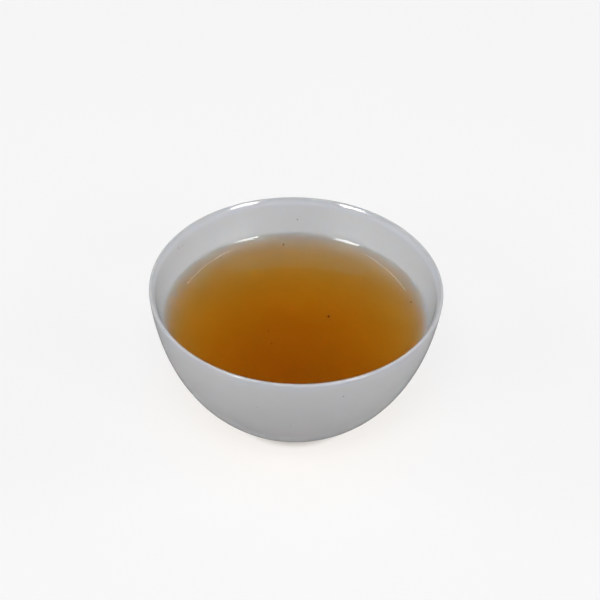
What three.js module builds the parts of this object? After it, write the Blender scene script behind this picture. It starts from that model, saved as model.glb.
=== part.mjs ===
// A small round tasting cup of thin white porcelain, without a handle, filled with brewed tea.
// Millimetres, +Z up. The origin is the middle of the foot ring's standing face.

import * as THREE from 'three';

// The cup's outside
const CUP_HEIGHT = 38;
const RIM_RADIUS = 35;
const LIP_THICKNESS = 1.25;
const OUTER_LEAN_AT_LIP = 6;        // degrees off vertical, closing downwards
const OUTER_PULL_AT_LIP = 16.3;     // how far the wall keeps that direction
const BELLY_RISE_AT_FOOT = 21.7;    // degrees above level, where the belly leaves the foot
const BELLY_PULL_AT_FOOT = 13.1;

// The cup's inside
const FLOOR_HEIGHT = 4.3;           // lowest point of the hollow
const INNER_LEAN_AT_LIP = 11;
const INNER_PULL_AT_LIP = 24.8;
const FLOOR_PULL = 22.6;            // how far the floor stays nearly level from the middle

// The foot ring
const FOOT_RADIUS = 13.8;
const FOOT_HEIGHT = 2.4;            // from the standing face to the belly
const FOOT_TAPER = 0.3;             // the ring is this much smaller in radius where it stands
const FOOT_WIDTH = 2.1;
const FOOT_ROUNDING = 0.35;
const RECESS_HEIGHT = 1.9;          // underside of the floor inside the ring, at the ring
const RECESS_DOME = 0.15;           // and how much higher it is in the middle

// The tea
const TEA_LEVEL = 26.3;             // free surface, away from the wall
const CAPILLARY_LENGTH = 2.6;       // sets how far the surface climbs where it wets the wall
const CONTACT_SLOPE = 64;           // degrees above level, where the climbing surface ends on the wall
const LEVEL_SLOPE = 2;              // degrees, below which the surface counts as level
const WALL_CLEARANCE = 0.3;         // gap between the two solids

// Fineness of the faceted surfaces
const TURN_STEPS = 72;
const WALL_STEPS = 16;
const LIP_STEPS = 6;
const CORNER_STEPS = 3;
const MENISCUS_STEPS = 7;

const PORCELAIN = new THREE.MeshStandardMaterial({ color: 0xdfe2e5, roughness: 0.12, metalness: 0 });
const BREWED_TEA = new THREE.MeshStandardMaterial({ color: 0x9c6414, roughness: 0.04, metalness: 0 });

const point = (radius, height) => new THREE.Vector2(radius, height);

// The point that lies a distance away from another, in a direction given in degrees above level outwards
function away(from, degrees, distance) {
  const angle = THREE.MathUtils.degToRad(degrees);
  return point(from.x + distance * Math.cos(angle), from.y + distance * Math.sin(angle));
}

// Points of an arc round a centre, both ends included
function arc(centre, radius, fromDegrees, toDegrees, steps) {
  return Array.from({ length: steps + 1 }, (_, i) =>
    away(centre, THREE.MathUtils.lerp(fromDegrees, toDegrees, i / steps), radius));
}

// The outside of the wall, from the foot up to the widest point of the lip
function outerWall() {
  const foot = point(FOOT_RADIUS, FOOT_HEIGHT);
  const lip = point(RIM_RADIUS, CUP_HEIGHT - LIP_THICKNESS / 2);
  return new THREE.CubicBezierCurve(
    foot,
    away(foot, BELLY_RISE_AT_FOOT, BELLY_PULL_AT_FOOT),
    away(lip, -90 - OUTER_LEAN_AT_LIP, OUTER_PULL_AT_LIP),
    lip,
  );
}

// The inside of the wall, from the middle of the floor up to the lip
function innerWall() {
  const floor = point(0, FLOOR_HEIGHT);
  const lip = point(RIM_RADIUS - LIP_THICKNESS, CUP_HEIGHT - LIP_THICKNESS / 2);
  return new THREE.CubicBezierCurve(
    floor,
    away(floor, 0, FLOOR_PULL),
    away(lip, -90 - INNER_LEAN_AT_LIP, INNER_PULL_AT_LIP),
    lip,
  );
}

// The underside, from the axis across the recess, round the foot ring and up to the belly
function underside() {
  const outerCorner = point(FOOT_RADIUS - FOOT_TAPER - FOOT_ROUNDING, FOOT_ROUNDING);
  const innerCorner = point(FOOT_RADIUS - FOOT_WIDTH + FOOT_ROUNDING, FOOT_ROUNDING);
  const recessEdge = point(innerCorner.x - FOOT_ROUNDING - FOOT_TAPER, RECESS_HEIGHT);
  return [
    point(0, RECESS_HEIGHT + RECESS_DOME),
    point(recessEdge.x / 2, RECESS_HEIGHT + RECESS_DOME * 3 / 4),
    recessEdge,
    ...arc(innerCorner, FOOT_ROUNDING, 180, 270, CORNER_STEPS),
    ...arc(outerCorner, FOOT_ROUNDING, 270, 360, CORNER_STEPS),
  ];
}

// A solid turned round the upright axis from a profile that starts and ends on it, going outwards below
function turned(name, profile, material) {
  const geometry = new THREE.LatheGeometry(profile, TURN_STEPS);
  geometry.rotateX(Math.PI / 2);
  const mesh = new THREE.Mesh(geometry, material);
  mesh.name = name;
  return mesh;
}

function makeCup() {
  const lipCentre = point(RIM_RADIUS - LIP_THICKNESS / 2, CUP_HEIGHT - LIP_THICKNESS / 2);
  const profile = [
    ...underside(),
    ...outerWall().getPoints(WALL_STEPS),
    ...arc(lipCentre, LIP_THICKNESS / 2, 0, 180, LIP_STEPS).slice(1, -1),
    ...innerWall().getPoints(WALL_STEPS).reverse(),
  ];
  return turned('cup', profile, PORCELAIN);
}

// The place along a rising curve, from 0 to 1, where it reaches a height
function placeAtHeight(curve, height) {
  let low = 0;
  let high = 1;
  while (high - low > 1e-6) {
    const middle = (low + high) / 2;
    if (curve.getPoint(middle).y < height) low = middle;
    else high = middle;
  }
  return high;
}

// Where the climbing surface of a still liquid has a given slope: x is its distance from the wall,
// counted from a fixed place behind it, and y is its height above the level
function meniscus(slopeDegrees) {
  const slope = THREE.MathUtils.degToRad(slopeDegrees);
  const reach = Math.log(1 / Math.tan(slope / 4)) - 2 * Math.cos(slope / 2);
  return point(reach, 2 * Math.sin(slope / 2)).multiplyScalar(CAPILLARY_LENGTH);
}

// The tea's own side and bottom: the inside of the wall, moved into the hollow by the clearance
function wettedSide() {
  const wall = innerWall();
  const top = placeAtHeight(wall, TEA_LEVEL + meniscus(CONTACT_SLOPE).y);
  return Array.from({ length: WALL_STEPS }, (_, i) => {
    const place = top * i / (WALL_STEPS - 1);
    const along = wall.getTangent(place);
    return wall.getPoint(place).add(point(-along.y, along.x).multiplyScalar(WALL_CLEARANCE));
  });
}

// The free surface from the wall to the axis, with the slope falling by the same share at each step
function freeSurface(edgeRadius) {
  const edge = meniscus(CONTACT_SLOPE);
  const climb = Array.from({ length: MENISCUS_STEPS }, (_, i) => {
    const share = (LEVEL_SLOPE / CONTACT_SLOPE) ** ((i + 1) / MENISCUS_STEPS);
    const here = meniscus(CONTACT_SLOPE * share);
    return point(edgeRadius - (here.x - edge.x), TEA_LEVEL + here.y);
  });
  return [...climb, point(0, TEA_LEVEL)];
}

function makeTea() {
  const side = wettedSide();
  side[0].x = 0;
  return turned('tea', [...side, ...freeSurface(side.at(-1).x)], BREWED_TEA);
}

const cupOfTea = new THREE.Group();
cupOfTea.add(makeCup(), makeTea());

export default cupOfTea;
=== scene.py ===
"""A small porcelain tasting cup without a handle, filled with brewed tea, on a plain pale floor."""

import math

import bpy
from mathutils import Matrix, Vector


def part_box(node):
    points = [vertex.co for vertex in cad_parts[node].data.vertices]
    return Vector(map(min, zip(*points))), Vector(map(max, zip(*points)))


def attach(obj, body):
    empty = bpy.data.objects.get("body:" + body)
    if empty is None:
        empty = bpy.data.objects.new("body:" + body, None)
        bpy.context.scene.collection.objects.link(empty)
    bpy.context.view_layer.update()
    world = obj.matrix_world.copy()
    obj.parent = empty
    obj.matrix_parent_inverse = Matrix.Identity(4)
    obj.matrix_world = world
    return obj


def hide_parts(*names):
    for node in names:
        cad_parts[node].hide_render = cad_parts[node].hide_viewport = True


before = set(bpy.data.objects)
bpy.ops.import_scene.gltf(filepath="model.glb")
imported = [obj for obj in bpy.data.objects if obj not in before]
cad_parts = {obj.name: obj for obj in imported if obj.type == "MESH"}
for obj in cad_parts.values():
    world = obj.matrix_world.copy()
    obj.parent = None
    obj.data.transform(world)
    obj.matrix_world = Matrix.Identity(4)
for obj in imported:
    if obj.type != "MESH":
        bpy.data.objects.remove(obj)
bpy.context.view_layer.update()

MM = 0.001
CUP_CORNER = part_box("cup")[1] / MM  # the highest corner of the box round each solid
TEA_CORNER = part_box("tea")[1] / MM

# The cup's outside, in millimetres and degrees
CUP_HEIGHT = CUP_CORNER.z
RIM_RADIUS = CUP_CORNER.x
LIP_THICKNESS = 1.25
OUTER_LEAN_AT_LIP = 6
OUTER_PULL_AT_LIP = 16.3
BELLY_RISE_AT_FOOT = 21.7
BELLY_PULL_AT_FOOT = 13.1

# The cup's inside
FLOOR_HEIGHT = 4.3
INNER_LEAN_AT_LIP = 11
INNER_PULL_AT_LIP = 24.8
FLOOR_PULL = 22.6

# The lip
CREST_ROUNDING = 0.4    # of its outer edge and top
LIP_SLANT = 52          # at which it slopes down to the inside
SLANT_PULL = 1.1
LIP_REACH = 2.1         # how far down the inside that slope goes over into the wall
LIP_REACH_PULL = 0.45

# The foot ring
FOOT_RADIUS = 13.8
FOOT_HEIGHT = 2.4
FOOT_TAPER = 0.3
FOOT_WIDTH = 2.1
FOOT_ROUNDING = 0.35
RECESS_HEIGHT = 1.9
RECESS_DOME = 0.15
GLAZE_POOL = 0.6        # how far the glaze rounds the corner between ring and belly

# The tea
CAPILLARY_LENGTH = 2.6  # sets how far the surface climbs where it wets the wall
CONTACT_SLOPE = 64
LEVEL_SLOPE = 0.5
WALL_CLEARANCE = 0.3    # between the solid tea of the frame and the wall
REACH_INTO_WALL = 0.2
FILM_LENGTH = 1.0       # how far the climbing surface runs on inside the wall

# How finely the turned pieces are made
TURN_STEPS = 256
WALL_STEPS = 56
DRY_STEPS = 16          # on the inside, between the lip and the tea
LIP_STEPS = 18
CREST_STEPS = 9
CORNER_STEPS = 6
DOME_STEPS = 8
MENISCUS_STEPS = 26
LEVEL_STEPS = 12
MERGE_DISTANCE = 1e-4   # for the points that meet on the axis

# Names that pass values between the script and its node groups
UNDER_TEA = "under_tea"     # marks the points of a profile that the tea covers
FACING = "facing"           # on a speck's place: square to what carries it
SHARE = "share"             # and its size as a share of the largest
UNEVENNESS = "unevenness"

# The camera, fitted to the rim's outline and the belly's
FRAME_PIXELS = 600
RIM_MIDDLE_PIXEL = (295.9, 285.98)
VIEW_ELEVATION = 39.84
VIEW_DISTANCE = 475.9
VIEW_ROLL = 1.67
LENS = 120
SENSOR = 36

# Porcelain: tones as linear red, green, blue and 1, each at a height; near the lip they hold painted light
# and shade, a lighter bluish band and a darker crest
TONES_WITH_PAINTED_LIP_LIGHT = (
    (CUP_HEIGHT - 2.4, (0.705, 0.71, 0.722, 1)),
    (CUP_HEIGHT - 1.3, (0.7, 0.715, 0.755, 1)),
    (CUP_HEIGHT - 0.45, (0.65, 0.665, 0.7, 1)),
    (CUP_HEIGHT - 0.2, (0.61, 0.625, 0.65, 1)),
)
# Under the tea, painted light: the wall is painted lighter than in air, warm a little below the tea's level
# and bluish at the waterline
TONES_WITH_PAINTED_LIGHT_UNDER_TEA = (
    (10, (0.81, 0.81, 0.8, 1)),
    (23, (0.77, 0.745, 0.735, 1)),
    (26.5, (0.755, 0.755, 0.75, 1)),
    (29, (0.73, 0.77, 0.79, 1)),
)
GLAZE_ROUGHNESS = 0.05
GLAZE_RIPPLE = 0.03             # how much rougher the glaze is in places
LIGHT_SPREAD = (1.8, 1.6, 1.4)  # how far red, green and blue light goes inside porcelain

# Tea
WHITE = (1, 1, 1, 1)
AMBER = (0.98, 0.778, 0, 1)
AMBER_DENSITY = 115
PALE_TEA = (0.3, 0.295, 0.285, 1)

# Specks
IRON = (0.16, 0.14, 0.13, 1)
IRON_SIZE = 0.45
IRON_FLATNESS = 0.2
LEAF = (0.07, 0.035, 0.02, 1)
LEAF_SIZE = 0.7
LEAF_FLATNESS = 0.35
GRAIN_LUMPINESS = 0.6
GRAIN_SEED = 4

# How strongly glaze and tea bend light
GLAZE_INDEX = 1.5
TEA_INDEX = 1.333

# The floor: distances from its middle in metres
FLOOR_REACH = 6.0
# Painted on the floor for the camera: a shadow round the foot, then a warm glow of light around the cup
FOOT_SHADE = (0.4, 0.36, 0.33, 1)
FOOT_SHADE_FADES = (0.0136, 0.0168)
PAINTED_WARM_GLOW = (0.795, 0.77, 0.74, 1)
PAINTED_WARM_GLOW_FADES = (0.017, 0.045)
PALE_CARD = (0.78, 0.78, 0.78, 1)
LIT_SHARE = (0.2, 0.2, 0.2, 1)
GREY_CARD = (0.5, 0.5, 0.5, 1)

# The surroundings
BACKDROP = (0.9, 0.9, 0.9, 1)
DARK_ROOM = (0.02, 0.02, 0.02, 1)
LOW_BAND = (0.6, 0.62, 0.66, 1)
LOW_BAND_FADES = (0.1, 0.35)    # as the sine of the angle above level

# The lights: degrees, metres and watts; azimuth 0 is behind the camera, and it grows to the right
SOFTBOX_AZIMUTH = 43.5
SOFTBOX_ELEVATION = 33
FILL_DISTANCE = 2.5
SIDES = ((-1, "left", 15), (1, "right", 16.5))  # with the power of each side's fill


# Points and curves of a profile: x is the distance from the axis, y the height, in millimetres

def point(radius, height):
    return Vector((radius, height))


def away(start, degrees, distance):
    """The point that lies a distance away from start, degrees above level, outwards."""
    angle = math.radians(degrees)
    return start + distance * point(math.cos(angle), math.sin(angle))


def arc(centre, radius, start_degrees, end_degrees, steps):
    turn = (end_degrees - start_degrees) / steps
    return [away(centre, start_degrees + turn * i, radius) for i in range(steps + 1)]


def cubic(start, leaving, arriving, end):
    """The curve from start to end that sets out towards leaving and comes in from arriving."""
    def at(t):
        s = 1 - t
        return start * s**3 + leaving * 3 * s * s * t + arriving * 3 * s * t * t + end * t**3
    return at


def run(curve, steps, start=0.0, end=1.0):
    return [curve(start + (end - start) * i / steps) for i in range(steps + 1)]


def across(curve, t):
    """The direction square to a rising curve, on its inner side."""
    small = 1e-4
    along = (curve(t + small) - curve(t - small)).normalized()
    return point(-along.y, along.x)


def place_at_height(curve, height):
    """The place on a rising curve, from 0 to 1, where it reaches a height."""
    low, high = 0.0, 1.0
    while high - low > 1e-7:
        middle = (low + high) / 2
        if curve(middle).y < height:
            low = middle
        else:
            high = middle
    return high


def outer_wall():
    foot = point(FOOT_RADIUS, FOOT_HEIGHT)
    lip = point(RIM_RADIUS, CUP_HEIGHT - LIP_THICKNESS / 2)
    belly = away(foot, BELLY_RISE_AT_FOOT, BELLY_PULL_AT_FOOT)
    shoulder = away(lip, -90 - OUTER_LEAN_AT_LIP, OUTER_PULL_AT_LIP)
    return cubic(foot, belly, shoulder, lip)


def inner_wall():
    floor = point(0, FLOOR_HEIGHT)
    lip = point(RIM_RADIUS - LIP_THICKNESS, CUP_HEIGHT - LIP_THICKNESS / 2)
    shoulder = away(lip, -90 - INNER_LEAN_AT_LIP, INNER_PULL_AT_LIP)
    return cubic(floor, away(floor, 0, FLOOR_PULL), shoulder, lip)


def contact_place(wall):
    """Where the tea ends on the wall: the solid tea's topmost ring, moved back across its clearance."""
    def solid_side(t):
        return wall(t) + across(wall, t) * WALL_CLEARANCE
    return place_at_height(solid_side, TEA_CORNER.z)


def pooled(before, corner, after, steps):
    """A hollow corner that the glaze has filled round."""
    first = corner + (before - corner).normalized() * GLAZE_POOL
    last = corner + (after - corner).normalized() * GLAZE_POOL
    shares = [i / steps for i in range(steps + 1)]
    return [first * (1 - t)**2 + corner * 2 * t * (1 - t) + last * t * t for t in shares]


def foot_outline(belly):
    """The underside, from the axis across the recess and round the foot ring to a point on the belly."""
    outer_corner = point(FOOT_RADIUS - FOOT_TAPER - FOOT_ROUNDING, FOOT_ROUNDING)
    inner_corner = point(FOOT_RADIUS - FOOT_WIDTH + FOOT_ROUNDING, FOOT_ROUNDING)
    foot_top = point(FOOT_RADIUS, FOOT_HEIGHT)
    recess_edge = point(inner_corner.x - FOOT_ROUNDING - FOOT_TAPER, RECESS_HEIGHT)
    recess_middle = point(0, RECESS_HEIGHT + RECESS_DOME)
    recess = []
    for i in range(DOME_STEPS - 1):
        t = i / DOME_STEPS
        recess.append(recess_middle.lerp(recess_edge, t) + point(0, RECESS_DOME * t * (1 - t)))
    return [
        *recess,
        *pooled(recess_middle, recess_edge, away(inner_corner, 180, FOOT_ROUNDING), CORNER_STEPS),
        *arc(inner_corner, FOOT_ROUNDING, 180, 270, CORNER_STEPS),
        *arc(outer_corner, FOOT_ROUNDING, 270, 360, CORNER_STEPS),
        *pooled(away(outer_corner, 0, FOOT_ROUNDING), foot_top, belly, CORNER_STEPS)[:-1],
    ]


def lip_outline(inside, lip_foot):
    """The rounded crest and the slanted edge that runs down into the inside of the wall."""
    crest_centre = point(RIM_RADIUS - CREST_ROUNDING, CUP_HEIGHT - CREST_ROUNDING)
    crest = arc(crest_centre, CREST_ROUNDING, 0, 90 + LIP_SLANT, CREST_STEPS)
    leaving = away(crest[-1], 180 + LIP_SLANT, SLANT_PULL)
    upwards = (inside(lip_foot) - inside(lip_foot - 0.01)).normalized()
    arriving = inside(lip_foot) + upwards * LIP_REACH_PULL
    slant = cubic(crest[-1], leaving, arriving, inside(lip_foot))
    return [*crest, *run(slant, LIP_STEPS)[1:-1]]


def cup_profile():
    """From the axis below, round the cup, to the axis inside, and a mark for each point under the tea."""
    outside, inside = outer_wall(), inner_wall()
    pool_height = GLAZE_POOL * math.sin(math.radians(BELLY_RISE_AT_FOOT))
    belly_from = place_at_height(outside, FOOT_HEIGHT + pool_height)
    lip_foot = place_at_height(inside, CUP_HEIGHT - LIP_REACH)
    wet_to = contact_place(inside)
    dry = [
        *foot_outline(outside(belly_from)),
        *run(outside, WALL_STEPS, belly_from),
        *lip_outline(inside, lip_foot),
        *run(inside, DRY_STEPS, lip_foot, wet_to)[:-1],
    ]
    wet = run(inside, WALL_STEPS, wet_to, 0)
    return [*dry, *wet], [0] * len(dry) + [1] * len(wet)


def meniscus(slope_degrees):
    """Where a still liquid that climbs a wall has a slope: x from a fixed place, y above its level."""
    slope = math.radians(slope_degrees)
    reach = math.log(1 / math.tan(slope / 4)) - 2 * math.cos(slope / 2)
    return CAPILLARY_LENGTH * point(reach, 2 * math.sin(slope / 2))


def tea_surface(contact):
    """The free surface, from its end on the wall, down the climb and level to the axis."""
    edge = meniscus(CONTACT_SLOPE)
    level = contact.y - edge.y
    climb = []
    for i in range(MENISCUS_STEPS + 1):
        share = (LEVEL_SLOPE / CONTACT_SLOPE) ** (i / MENISCUS_STEPS)
        here = meniscus(CONTACT_SLOPE * share)
        climb.append(point(contact.x - (here.x - edge.x), level + here.y))
    calm = climb[-1]
    flat = [point(calm.x * (1 - i / LEVEL_STEPS), calm.y) for i in range(1, LEVEL_STEPS + 1)]
    return [*climb, *flat]


def tea_profile():
    """From the axis below, up just inside the wall, then along the free surface to the axis."""
    wall = inner_wall()
    contact = wall(contact_place(wall))
    film_end = away(contact, CONTACT_SLOPE, FILM_LENGTH)
    top = place_at_height(wall, film_end.y)
    side = []
    for i in range(WALL_STEPS):
        t = top * i / WALL_STEPS
        side.append(wall(t) - across(wall, max(t, 1e-3)) * REACH_INTO_WALL)
    side[0].x = 0
    return [*side, film_end, *tea_surface(contact)]


# Nodes

def set_inputs(tree, node, inputs):
    """Gives each input named a value, or links it to another node's output."""
    for key, value in inputs.items():
        if isinstance(value, bpy.types.NodeSocket):
            tree.links.new(value, node.inputs[key])
        else:
            node.inputs[key].default_value = value


def add_node(tree, kind, inputs=None, **settings):
    node = tree.nodes.new(kind)
    for key, value in settings.items():
        setattr(node, key, value)
    set_inputs(tree, node, inputs or {})
    return node


def add_math(tree, operation, *terms):
    return add_node(tree, "ShaderNodeMath", dict(enumerate(terms)), operation=operation).outputs[0]


def add_sockets(tree, in_out, kinds):
    for name, kind in kinds.items():
        tree.interface.new_socket(name, in_out=in_out, socket_type="NodeSocket" + kind)


# Pieces made by Geometry Nodes

def new_modifier_tree(name, inputs, output):
    """An empty tree for a modifier, and the outputs of its group input."""
    tree = bpy.data.node_groups.new(name, "GeometryNodeTree")
    tree.is_modifier = True
    add_sockets(tree, "INPUT", inputs)
    add_sockets(tree, "OUTPUT", {output: "Geometry"})
    return tree, add_node(tree, "NodeGroupInput").outputs


def turning_tree():
    """Turns a profile, drawn as a chain of edges in X and Y, round the upright axis."""
    tree, given = new_modifier_tree("turned_on_the_wheel", {
        "Profile": "Geometry",
        "Turn Steps": "Int",
        "Path Radius": "Float",
        "Merge Distance": "Float",
        "Finish": "Material",
        "Finish Under Tea": "Material",
    }, "Piece")
    outline = add_node(tree, "GeometryNodeMeshToCurve", {"Mesh": given["Profile"]})
    inwards = add_math(tree, "MULTIPLY", given["Path Radius"], -1)
    place = add_node(tree, "GeometryNodeTransform", {
        "Geometry": outline.outputs["Curve"],
        "Translation": add_node(tree, "ShaderNodeCombineXYZ", {"X": inwards}).outputs["Vector"],
        "Rotation": (math.pi, 0, 0),  # so that a swept profile's Y points up
    })
    path = add_node(tree, "GeometryNodeCurvePrimitiveCircle", {
        "Resolution": given["Turn Steps"],
        "Radius": given["Path Radius"],
    }, mode="RADIUS")
    sweep = add_node(tree, "GeometryNodeCurveToMesh", {
        "Curve": path.outputs["Curve"],
        "Profile Curve": place.outputs["Geometry"],
    })
    merge = add_node(tree, "GeometryNodeMergeByDistance", {
        "Geometry": sweep.outputs["Mesh"],
        "Distance": given["Merge Distance"],
    })
    outwards = add_node(tree, "GeometryNodeFlipFaces", {"Mesh": merge.outputs["Geometry"]})
    smooth = add_node(tree, "GeometryNodeSetShadeSmooth", {"Geometry": outwards.outputs["Mesh"]})
    real = add_node(tree, "GeometryNodeRealizeInstances", {"Geometry": smooth.outputs["Geometry"]})
    finish = add_node(tree, "GeometryNodeSetMaterial", {
        "Geometry": real.outputs["Geometry"],
        "Material": given["Finish"],
    })
    covered = add_node(tree, "GeometryNodeInputNamedAttribute", {"Name": UNDER_TEA})
    wholly = add_node(tree, "FunctionNodeCompare", {"A": covered.outputs["Attribute"], "B": 0.99})
    finish_under_tea = add_node(tree, "GeometryNodeSetMaterial", {
        "Geometry": finish.outputs["Geometry"],
        "Selection": wholly.outputs["Result"],
        "Material": given["Finish Under Tea"],
    })
    add_node(tree, "NodeGroupOutput", {"Piece": finish_under_tea.outputs["Geometry"]})
    return tree


def strewing_tree():
    """Lays a small uneven grain on every point, flat on what carries it."""
    tree, given = new_modifier_tree("strewn_grains", {
        "Places": "Geometry",
        "Grain Size": "Float",
        "Flatness": "Float",
        "Roughness": "Float",
        "Seed": "Int",
        "Finish": "Material",
    }, "Grains")
    ball = add_node(tree, "GeometryNodeMeshIcoSphere", {"Radius": 0.5, "Subdivisions": 2})
    noise = add_node(tree, "ShaderNodeTexNoise", {"Scale": 2.3})
    centred = add_node(tree, "ShaderNodeVectorMath", {
        0: noise.outputs["Color"],
        1: (0.5, 0.5, 0.5),
    }, operation="SUBTRACT")
    push = add_node(tree, "ShaderNodeVectorMath", {
        0: centred.outputs["Vector"],
        "Scale": given["Roughness"],
    }, operation="SCALE")
    lumpy = add_node(tree, "GeometryNodeSetPosition", {
        "Geometry": ball.outputs["Mesh"],
        "Offset": push.outputs["Vector"],
    })
    facing = add_node(tree, "GeometryNodeInputNamedAttribute", {"Name": FACING}, data_type="FLOAT_VECTOR")
    share = add_node(tree, "GeometryNodeInputNamedAttribute", {"Name": SHARE})
    turn = add_node(tree, "FunctionNodeRandomValue", {3: 2 * math.pi, "Seed": given["Seed"]})
    spun = add_node(tree, "FunctionNodeAxisAngleToRotation", {
        "Axis": (0, 0, 1),
        "Angle": turn.outputs[1],
    })
    flat_on = add_node(tree, "FunctionNodeAlignRotationToVector", {
        "Rotation": spun.outputs["Rotation"],
        "Vector": facing.outputs["Attribute"],
    }, axis="Z")
    width = add_node(tree, "FunctionNodeRandomValue", {2: 0.5, 3: 0.9, "Seed": given["Seed"]})
    shape = add_node(tree, "ShaderNodeCombineXYZ", {
        "X": 1,
        "Y": width.outputs[1],
        "Z": given["Flatness"],
    })
    sized = add_node(tree, "ShaderNodeVectorMath", {
        0: shape.outputs["Vector"],
        "Scale": add_math(tree, "MULTIPLY", given["Grain Size"], share.outputs["Attribute"]),
    }, operation="SCALE")
    grains = add_node(tree, "GeometryNodeInstanceOnPoints", {
        "Points": given["Places"],
        "Instance": lumpy.outputs["Geometry"],
        "Rotation": flat_on.outputs["Rotation"],
        "Scale": sized.outputs["Vector"],
    })
    smooth = add_node(tree, "GeometryNodeSetShadeSmooth", {"Geometry": grains.outputs["Instances"]})
    real = add_node(tree, "GeometryNodeRealizeInstances", {"Geometry": smooth.outputs["Geometry"]})
    finish = add_node(tree, "GeometryNodeSetMaterial", {
        "Geometry": real.outputs["Geometry"],
        "Material": given["Finish"],
    })
    add_node(tree, "NodeGroupOutput", {"Grains": finish.outputs["Geometry"]})
    return tree


def identifier_of(tree, name):
    for item in tree.interface.items_tree:
        if item.item_type == "SOCKET" and item.in_out == "INPUT" and item.name == name:
            return item.identifier
    raise KeyError(name)


def made_by(tree, name, base, inputs):
    """The plain mesh that a node tree makes from a base mesh, as a new object."""
    draft = bpy.data.objects.new(name + "_draft", base)
    bpy.context.scene.collection.objects.link(draft)
    modifier = draft.modifiers.new("make", "NODES")
    modifier.node_group = tree
    for key, value in inputs.items():
        modifier[identifier_of(tree, key)] = value
    draft.update_tag()
    bpy.context.view_layer.update()
    graph = bpy.context.evaluated_depsgraph_get()
    mesh = bpy.data.meshes.new_from_object(draft.evaluated_get(graph))
    bpy.data.objects.remove(draft)
    bpy.data.meshes.remove(base)
    mesh.name = name
    for number in reversed(range(len(mesh.materials))):
        if mesh.materials[number] is None:
            mesh.materials.pop(index=number)
    piece = bpy.data.objects.new(name, mesh)
    bpy.context.scene.collection.objects.link(piece)
    return piece


def turned(tree, name, profile, covered, finish, finish_under_tea):
    base = bpy.data.meshes.new(name + "_profile")
    points = [(p.x * MM, p.y * MM, 0) for p in profile]
    base.from_pydata(points, [(i, i + 1) for i in range(len(points) - 1)], [])
    base.attributes.new(UNDER_TEA, "FLOAT", "POINT").data.foreach_set("value", covered)
    return made_by(tree, name, base, {
        "Turn Steps": TURN_STEPS,
        "Path Radius": RIM_RADIUS * MM,
        "Merge Distance": MERGE_DISTANCE * MM,
        "Finish": finish,
        "Finish Under Tea": finish_under_tea,
    })


def strewn(tree, name, spots, size, flatness, finish):
    """Grains as one piece; a spot is its place, the way it faces and its size as a share of the given one."""
    base = bpy.data.meshes.new(name + "_places")
    base.from_pydata([place * MM for (place, facing), share in spots], [], [])
    ways = [number for (place, facing), share in spots for number in facing]
    shares = [share for spot, share in spots]
    base.attributes.new(FACING, "FLOAT_VECTOR", "POINT").data.foreach_set("vector", ways)
    base.attributes.new(SHARE, "FLOAT", "POINT").data.foreach_set("value", shares)
    return made_by(tree, name, base, {
        "Grain Size": size * MM,
        "Flatness": flatness,
        "Roughness": GRAIN_LUMPINESS,
        "Seed": GRAIN_SEED,
        "Finish": finish,
    })


def turned_to(azimuth, profile_point):
    """A point or direction of a profile, in space at an azimuth in degrees from +X."""
    around = Matrix.Rotation(math.radians(azimuth), 3, "Z")
    return around @ Vector((profile_point.x, 0, profile_point.y))


def on_wall(wall, side, azimuth, height):
    """A place on a turned wall and the way it faces there; side is 1 for the inside, -1 for the outside."""
    t = place_at_height(wall, height)
    return turned_to(azimuth, wall(t)), turned_to(azimuth, across(wall, t) * side)


def on_tea(azimuth, distance):
    """A place on the tea's surface, at a distance from the axis, and the way it faces there."""
    wall = inner_wall()
    surface = tea_surface(wall(contact_place(wall)))
    for outer, inner in zip(surface, surface[1:]):
        if inner.x <= distance:
            break
    spot = inner.lerp(outer, (distance - inner.x) / (outer.x - inner.x))
    along = (inner - outer).normalized()
    return turned_to(azimuth, spot), turned_to(azimuth, point(along.y, -along.x))


# Materials

def new_material(name):
    """A material, its node tree and its main shader."""
    material = bpy.data.materials.new(name)
    material.use_nodes = True
    return material, material.node_tree, material.node_tree.nodes["Principled BSDF"]


def unevenness_group():
    """Slow patches over a tone and a fine relief, as a shader group that the materials share."""
    group = bpy.data.node_groups.new(UNEVENNESS, "ShaderNodeTree")
    add_sockets(group, "INPUT", {
        "Tone": "Color",
        "Patch Size": "Float",
        "Patch Strength": "Float",
        "Grain Size": "Float",
        "Relief": "Float",
    })
    add_sockets(group, "OUTPUT", {"Tone": "Color", "Patches": "Float", "Normal": "Vector"})
    given = add_node(group, "NodeGroupInput").outputs
    place = add_node(group, "ShaderNodeTexCoord").outputs["Object"]
    patches, grain = [
        add_node(group, "ShaderNodeTexNoise", {
            "Vector": place,
            "Scale": add_math(group, "DIVIDE", 1, given[size]),
            "Detail": detail,
        }).outputs["Fac"]
        for size, detail in (("Patch Size", 3), ("Grain Size", 2))
    ]
    centred = add_math(group, "SUBTRACT", patches, 0.5)
    tone = add_node(group, "ShaderNodeVectorMath", {
        0: given["Tone"],
        "Scale": add_math(group, "MULTIPLY_ADD", centred, given["Patch Strength"], 1),
    }, operation="SCALE")
    bump = add_node(group, "ShaderNodeBump", {"Height": grain, "Distance": given["Relief"]})
    add_node(group, "NodeGroupOutput", {
        "Tone": tone.outputs["Vector"],
        "Patches": patches,
        "Normal": bump.outputs["Normal"],
    })


def add_unevenness(tree, tone, patch_size, patch_strength, grain_size, relief):
    """The outputs of an unevenness group; sizes and relief in millimetres."""
    return add_node(tree, "ShaderNodeGroup", {
        "Tone": tone,
        "Patch Size": patch_size * MM,
        "Patch Strength": patch_strength,
        "Grain Size": grain_size * MM,
        "Relief": relief * MM,
    }, node_tree=bpy.data.node_groups[UNEVENNESS]).outputs


def add_step(tree, value, start, end):
    """A mask that goes smoothly from 0 to 1 between two values."""
    return add_node(tree, "ShaderNodeMapRange", {
        "Value": value,
        "From Min": start,
        "From Max": end,
    }, interpolation_type="SMOOTHSTEP").outputs["Result"]


def add_blend(tree, mask, below, above):
    """From one colour to another by a mask."""
    return add_node(tree, "ShaderNodeMix", {0: mask, 6: below, 7: above}, data_type="RGBA").outputs[2]


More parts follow.
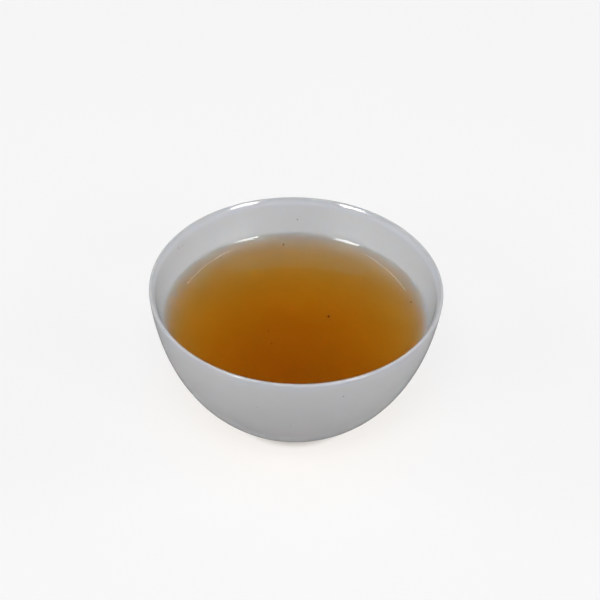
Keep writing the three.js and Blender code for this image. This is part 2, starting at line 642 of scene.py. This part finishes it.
def add_tones(tree, height, tones):
    """A colour that changes with height, in even steps between the tones given."""
    share = add_math(tree, "DIVIDE", height, CUP_HEIGHT * MM)
    ramp = add_node(tree, "ShaderNodeValToRGB", {"Fac": share})
    places = ramp.color_ramp.elements
    for number, (at, tone) in enumerate(tones):
        place = places[number] if number < 2 else places.new(1)
        place.position = at / CUP_HEIGHT
        place.color = tone
    return ramp.outputs["Color"]


def porcelain(name, gloss, tones):
    """Thin porcelain under a clear glaze; gloss is the glaze's index against what covers it."""
    material, tree, skin = new_material(name)
    place = add_node(tree, "ShaderNodeTexCoord").outputs["Object"]
    height = add_node(tree, "ShaderNodeSeparateXYZ", {"Vector": place}).outputs["Z"]
    # The tones by height hold painted light and shade near the lip and under the tea
    tone = add_tones(tree, height, tones)
    uneven = add_unevenness(tree, tone, patch_size=6, patch_strength=0.05, grain_size=0.9, relief=0.002)
    set_inputs(tree, skin, {
        "Base Color": uneven["Tone"],
        "Roughness": add_math(tree, "MULTIPLY_ADD", uneven["Patches"], GLAZE_RIPPLE, GLAZE_ROUGHNESS),
        "Normal": uneven["Normal"],
        "IOR": gloss,
        "Subsurface Weight": 1,
        "Subsurface Radius": LIGHT_SPREAD,
        "Subsurface Scale": MM,
    })
    return material


def grain_material(name, tone):
    material, tree, skin = new_material(name)
    uneven = add_unevenness(tree, tone, patch_size=0.15, patch_strength=1.2, grain_size=0.06, relief=0.01)
    set_inputs(tree, skin, {
        "Base Color": uneven["Tone"],
        "Normal": uneven["Normal"],
        "Roughness": 0.45,
    })
    return material


def brewed_tea():
    """Clear amber, but the porcelain above the tea sees it pale, so that the dry wall stays white."""
    material, tree, skin = new_material("amber_tea")
    still = add_unevenness(tree, WHITE, patch_size=8, patch_strength=0.02, grain_size=5, relief=0.003)
    set_inputs(tree, skin, {
        "Base Color": still["Tone"],
        "Normal": still["Normal"],
        "Roughness": 0,
        "IOR": TEA_INDEX,
        "Transmission Weight": 1,
    })
    pale = add_node(tree, "ShaderNodeBsdfPrincipled", {"Base Color": PALE_TEA, "Roughness": 0.5})
    body = add_node(tree, "ShaderNodeVolumeAbsorption", {"Color": AMBER, "Density": AMBER_DENSITY})
    rays = add_node(tree, "ShaderNodeLightPath").outputs
    inside = add_node(tree, "ShaderNodeNewGeometry").outputs["Backfacing"]
    outside = add_math(tree, "SUBTRACT", 1, inside)
    bounced = add_math(tree, "MAXIMUM", rays["Is Diffuse Ray"], rays["Is Glossy Ray"])
    choice = add_node(tree, "ShaderNodeMixShader", {
        "Fac": add_math(tree, "MULTIPLY", bounced, outside),
        1: skin.outputs["BSDF"],
        2: pale.outputs["BSDF"],
    })
    set_inputs(tree, tree.nodes["Material Output"], {
        "Surface": choice.outputs["Shader"],
        "Volume": body.outputs["Volume"],
    })
    return material


def pale_floor():
    """A mid-grey card that looks nearly white to the camera, so that it throws little light back."""
    material, tree, card = new_material("pale_floor")
    place = add_node(tree, "ShaderNodeTexCoord").outputs["Object"]
    distance = add_node(tree, "ShaderNodeVectorMath", {0: place}, operation="LENGTH").outputs["Value"]
    # A painted shadow round the foot and a painted warm glow beyond it, in the tone the camera sees
    off_foot_shade = add_step(tree, distance, *FOOT_SHADE_FADES)
    off_painted_warm_glow = add_step(tree, distance, *PAINTED_WARM_GLOW_FADES)
    tone = add_blend(tree, off_foot_shade, FOOT_SHADE, add_blend(tree, off_painted_warm_glow, PAINTED_WARM_GLOW, PALE_CARD))
    uneven = add_unevenness(tree, tone, patch_size=90, patch_strength=0.02, grain_size=0.5, relief=0.01)
    seen = add_node(tree, "ShaderNodeBsdfPrincipled", {
        "Base Color": LIT_SHARE,
        "Emission Color": uneven["Tone"],
        "Emission Strength": 1,
    })
    set_inputs(tree, card, {"Base Color": GREY_CARD})
    for shader in (card, seen):
        set_inputs(tree, shader, {"Roughness": 1, "Specular IOR Level": 0})
    choice = add_node(tree, "ShaderNodeMixShader", {
        "Fac": add_node(tree, "ShaderNodeLightPath").outputs["Is Camera Ray"],
        1: card.outputs["BSDF"],
        2: seen.outputs["BSDF"],
    })
    set_inputs(tree, tree.nodes["Material Output"], {"Surface": choice.outputs["Shader"]})
    return material


# The setting

def make_floor():
    mesh = bpy.data.meshes.new("floor")
    corners = [(-1, -1), (1, -1), (1, 1), (-1, 1)]
    mesh.from_pydata([(x * FLOOR_REACH, y * FLOOR_REACH, 0) for x, y in corners], [], [(0, 1, 2, 3)])
    mesh.materials.append(pale_floor())
    floor = bpy.data.objects.new("floor", mesh)
    bpy.context.scene.collection.objects.link(floor)


def make_camera():
    """Looks along +Y and down, with the middle of the rim at its place in the picture."""
    elevation = math.radians(VIEW_ELEVATION)
    ahead = Vector((0, math.cos(elevation), -math.sin(elevation)))
    right = Vector((1, 0, 0))
    up = right.cross(ahead)
    rim_middle = Vector((0, 0, CUP_HEIGHT * MM))
    pixels_per_unit_slope = LENS / SENSOR * FRAME_PIXELS
    aside = (RIM_MIDDLE_PIXEL[0] - FRAME_PIXELS / 2) / pixels_per_unit_slope
    below = (RIM_MIDDLE_PIXEL[1] - FRAME_PIXELS / 2) / pixels_per_unit_slope
    looking = (ahead - aside * right + below * up).normalized()
    level = looking.cross(Vector((0, 0, 1))).normalized()
    roll = math.radians(VIEW_ROLL)
    side = math.cos(roll) * level + math.sin(roll) * level.cross(looking)
    head = side.cross(looking)
    data = bpy.data.cameras.new("camera")
    data.lens = LENS
    data.sensor_width = SENSOR
    data.clip_start = 0.01
    camera = bpy.data.objects.new("camera", data)
    axes = Matrix((side, head, -looking)).transposed()
    camera.matrix_world = Matrix.Translation(rim_middle - ahead * VIEW_DISTANCE * MM) @ axes.to_4x4()
    bpy.context.scene.collection.objects.link(camera)
    bpy.context.scene.camera = camera


def new_lamp(name, width, height, power, place):
    """A flat lamp that lies at a place in space, which the camera doesn't see."""
    data = bpy.data.lights.new(name, "AREA")
    data.shape = "RECTANGLE"
    data.size = width
    data.size_y = height
    data.energy = power
    lamp = bpy.data.objects.new(name, data)
    lamp.matrix_world = place
    lamp.visible_camera = False
    bpy.context.scene.collection.objects.link(lamp)
    return lamp


def facing_cup(azimuth, elevation, distance):
    """A place for a lamp that faces the cup."""
    around, above = math.radians(azimuth), math.radians(elevation)
    spot = distance * Vector((math.sin(around) * math.cos(above), -math.cos(around) * math.cos(above),
                              math.sin(above)))
    return Matrix.Translation(spot) @ spot.to_track_quat("Z", "Y").to_matrix().to_4x4()


def show_only_as_highlight(lamp):
    """Keeps a lamp from lighting anything: it is seen mirrored once, and no more."""
    lamp.visible_diffuse = False
    lamp.visible_transmission = False
    lamp.data.use_nodes = True
    tree = lamp.data.node_tree
    depth = add_node(tree, "ShaderNodeLightPath").outputs["Ray Depth"]
    mirrored_once = add_math(tree, "LESS_THAN", depth, 2.5)  # the depth is then 2
    set_inputs(tree, tree.nodes["Emission"], {"Strength": mirrored_once})


def fill_light(name, azimuth, elevation, power):
    """A large softbox further off that lights the cup without showing in its glaze."""
    place = facing_cup(azimuth, elevation, FILL_DISTANCE)
    lamp = new_lamp(name, width=1.0, height=0.8, power=power, place=place)
    lamp.visible_glossy = False


def make_lights():
    """Each side has a softbox, a panel and a bar that make its highlights, and two fills."""
    for side, name, side_power in SIDES:
        place = facing_cup(SOFTBOX_AZIMUTH * side, SOFTBOX_ELEVATION, distance=1.5)
        new_lamp("softbox_" + name, width=0.46, height=0.42, power=4, place=place)
        place = facing_cup(SOFTBOX_AZIMUTH * side, SOFTBOX_ELEVATION, distance=1.4)
        show_only_as_highlight(new_lamp("glint_" + name, width=0.43, height=0.39, power=11, place=place))
        place = Matrix.Translation((0.5 * side, 0.36, 0.96))
        show_only_as_highlight(new_lamp("bar_" + name, width=0.05, height=0.72, power=1.3, place=place))
        fill_light("side_fill_" + name, azimuth=90 * side, elevation=24, power=side_power)
        fill_light("back_fill_" + name, azimuth=135 * side, elevation=35, power=2.2)
    fill_light("front_fill", azimuth=-5, elevation=56, power=24.5)


def make_world():
    """Pale to the camera, dark as a source of light, and pale low down where the glaze mirrors it."""
    world = bpy.data.worlds.new("studio")
    world.use_nodes = True
    tree = world.node_tree
    tree.nodes.clear()
    rays = add_node(tree, "ShaderNodeLightPath").outputs
    way = add_node(tree, "ShaderNodeTexCoord").outputs["Generated"]
    rise = add_node(tree, "ShaderNodeSeparateXYZ", {"Vector": way}).outputs["Z"]
    mirrored = add_blend(tree, add_step(tree, rise, *LOW_BAND_FADES), LOW_BAND, DARK_ROOM)
    around = add_blend(tree, rays["Is Glossy Ray"], DARK_ROOM, mirrored)
    seen = add_blend(tree, rays["Is Camera Ray"], around, BACKDROP)
    glow = add_node(tree, "ShaderNodeBackground", {"Color": seen})
    add_node(tree, "ShaderNodeOutputWorld", {"Surface": glow.outputs["Background"]})
    bpy.context.scene.world = world


# The pieces

def make_cup(wheel):
    profile, covered = cup_profile()
    in_air = porcelain("white_porcelain", GLAZE_INDEX, TONES_WITH_PAINTED_LIP_LIGHT)
    # Under the tea a second copy: its own glaze index, and tones painted lighter as painted light
    under_tea = porcelain("white_porcelain_painted_lighter_under_tea", GLAZE_INDEX / TEA_INDEX, TONES_WITH_PAINTED_LIGHT_UNDER_TEA)
    return turned(wheel, "porcelain_cup", profile, covered, in_air, under_tea)


def make_tea(wheel):
    profile = tea_profile()
    amber = brewed_tea()
    return turned(wheel, "tea_in_cup", profile, [0] * len(profile), amber, amber)


def make_iron_specks(sprinkler):
    """The dark specks in the glaze, each at an azimuth and a height."""
    inside, outside = inner_wall(), outer_wall()
    spots = [
        (on_wall(inside, 1, 90.3, 32.5), 0.9),
        (on_wall(inside, 1, 150.6, 35.4), 1.0),
        (on_wall(inside, 1, 147.9, 35.1), 0.6),
        (on_wall(outside, -1, -104.0, 28.6), 0.7),
        (on_wall(outside, -1, -70.6, 32.7), 0.9),
        (on_wall(outside, -1, -90.8, 22.2), 0.7),
    ]
    finish = grain_material("iron_speck", IRON)
    return strewn(sprinkler, "iron_specks", spots, IRON_SIZE, IRON_FLATNESS, finish)


def make_leaf_dust(sprinkler):
    """The grains that float on the tea, each at an azimuth and a distance from the axis."""
    spots = [
        (on_tea(18.8, 8.5), 1.0),
        (on_tea(96.9, 29.4), 0.8),
        (on_tea(-154.5, 7.1), 0.5),
        (on_tea(-125.6, 9.5), 0.6),
        (on_tea(16.0, 29.3), 0.6),
    ]
    finish = grain_material("leaf_dust", LEAF)
    return strewn(sprinkler, "leaf_dust", spots, LEAF_SIZE, LEAF_FLATNESS, finish)


unevenness_group()
make_camera()
make_floor()
make_world()
make_lights()
wheel = turning_tree()
cup = make_cup(wheel)
tea = make_tea(wheel)
sprinkler = strewing_tree()
iron = make_iron_specks(sprinkler)
dust = make_leaf_dust(sprinkler)
for piece, finish in ((cup, "porcelain"), (tea, "brewed_tea"), (iron, "porcelain"), (dust, "brewed_tea")):
    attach(piece, "root")
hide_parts("cup")
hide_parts("tea")
bpy.context.scene.view_settings.view_transform = "Standard"
